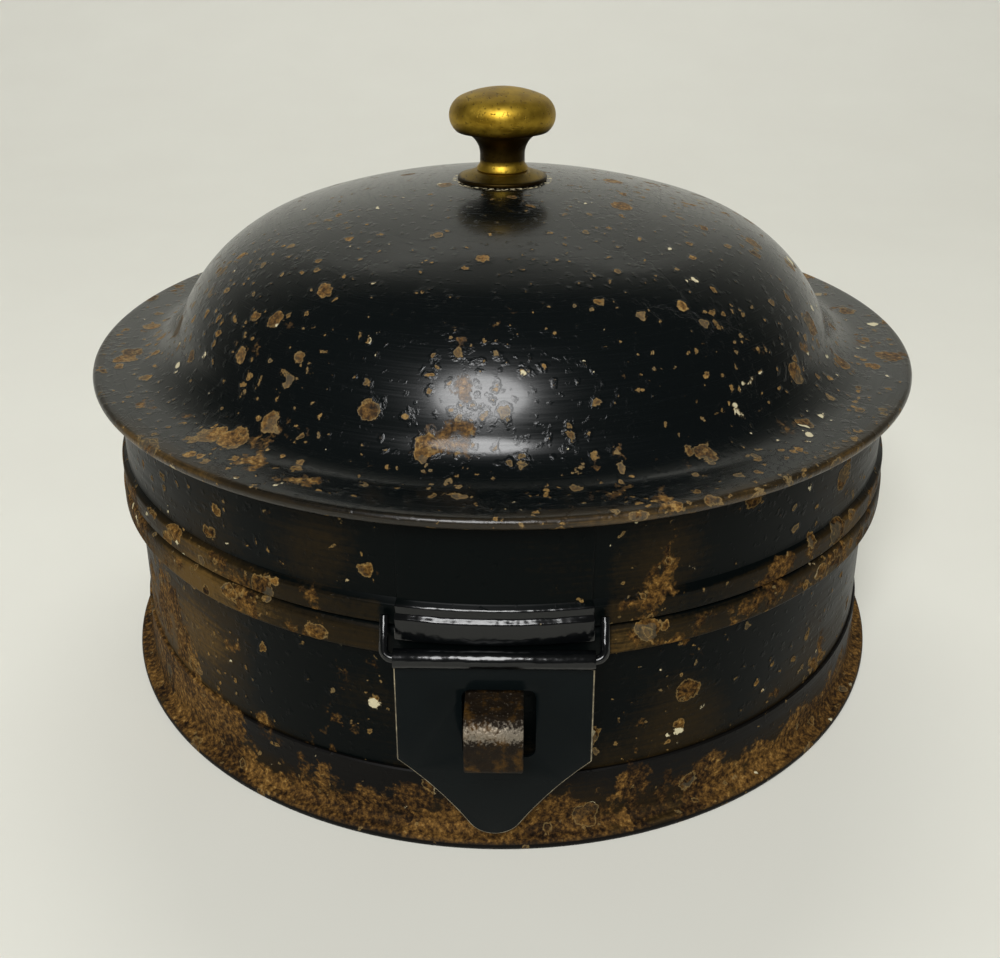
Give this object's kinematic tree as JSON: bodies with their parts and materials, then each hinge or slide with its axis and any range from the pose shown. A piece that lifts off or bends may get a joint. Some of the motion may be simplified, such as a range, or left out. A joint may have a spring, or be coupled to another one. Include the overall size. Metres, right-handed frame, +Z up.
{
  "type": "hinged spice tin",
  "caption": "Round black japanned tinplate spice tin: domed hinged lid with a brass knob, slotted hasp over a strap staple, flared foot, lift-out wedge canisters and a nutmeg grater.",
  "frame": {"origin": "centre of the foot's resting circle, on the tin's axis", "axes": "+Z up along the tin's axis; -Y to the front, where the hasp is; +X to the right seen from the front"},
  "size_m": [0.18, 0.1863, 0.1242],
  "materials": {
    "black_japan": "glossy black japan over tinplate, chipped to rust",
    "painted_fittings": "black paint with worn bright edges",
    "worn_japan": "black japan worn to brown and rust",
    "rusty_iron": "rusted iron with worn bright edges",
    "aged_brass": "aged scratched brass",
    "tinplate": "dull tinned sheet"
  },
  "bodies": {
    "base": {"body_wall": "black_japan", "base_floor": "black_japan", "foot_ring": "worn_japan", "foot_wire": "rusty_iron", "staple": "rusty_iron", "hinge_base_leaf": "painted_fittings", "hinge_pin": "rusty_iron"},
    "lid": {"lid_dome": "black_japan", "brim_wire": "rusty_iron", "lid_skirt": "black_japan", "hinge_lid_leaf": "painted_fittings", "hasp_hinge_leaf": "painted_fittings", "hasp_wire": "rusty_iron", "knob": "aged_brass", "knob_rose": "aged_brass", "knob_stud": "rusty_iron", "knob_washer": "rusty_iron", "knob_nut": "rusty_iron"},
    "hasp": {"hasp_plate": "painted_fittings", "hasp_knuckle": "painted_fittings"},
    "canister_1": {"canister_1": "tinplate", "canister_floor_1": "tinplate", "canister_tab_1": "tinplate"},
    "canister_2": {"canister_2": "tinplate", "canister_floor_2": "tinplate", "canister_tab_2": "tinplate"},
    "canister_3": {"canister_3": "tinplate", "canister_floor_3": "tinplate", "canister_tab_3": "tinplate"},
    "canister_4": {"canister_4": "tinplate", "canister_floor_4": "tinplate", "canister_tab_4": "tinplate"},
    "canister_5": {"canister_5": "tinplate", "canister_floor_5": "tinplate", "canister_tab_5": "tinplate"},
    "canister_6": {"canister_6": "tinplate", "canister_floor_6": "tinplate", "canister_tab_6": "tinplate"},
    "grater": {"grater_tube": "tinplate", "grater_floor": "tinplate"},
    "grater_cap": {"grater_cap": "tinplate"}
  },
  "joints": [
    {"name": "lid_hinge", "type": "hinge", "parent": "base", "child": "lid", "pos_m": [0, 0.08865, 0.0462], "axis": [-1, 0, 0], "range_deg": [0, 105]},
    {"name": "hasp_hinge", "type": "hinge", "parent": "lid", "child": "hasp", "pos_m": [0, -0.08855, 0.0427], "axis": [-1, 0, 0], "range_deg": [0, 165]},
    {"name": "canister_1_lift", "type": "slide", "parent": "base", "child": "canister_1", "axis": [0, 0, 1], "range_m": [0, 0.014]},
    {"name": "canister_2_lift", "type": "slide", "parent": "base", "child": "canister_2", "axis": [0, 0, 1], "range_m": [0, 0.014]},
    {"name": "canister_3_lift", "type": "slide", "parent": "base", "child": "canister_3", "axis": [0, 0, 1], "range_m": [0, 0.014]},
    {"name": "canister_4_lift", "type": "slide", "parent": "base", "child": "canister_4", "axis": [0, 0, 1], "range_m": [0, 0.014]},
    {"name": "canister_5_lift", "type": "slide", "parent": "base", "child": "canister_5", "axis": [0, 0, 1], "range_m": [0, 0.014]},
    {"name": "canister_6_lift", "type": "slide", "parent": "base", "child": "canister_6", "axis": [0, 0, 1], "range_m": [0, 0.014]},
    {"name": "grater_lift", "type": "slide", "parent": "base", "child": "grater", "axis": [0, 0, 1], "range_m": [0, 0.016]},
    {"name": "grater_cap_lift", "type": "slide", "parent": "grater", "child": "grater_cap", "axis": [0, 0, 1], "range_m": [0, 0.01]}
  ]
}
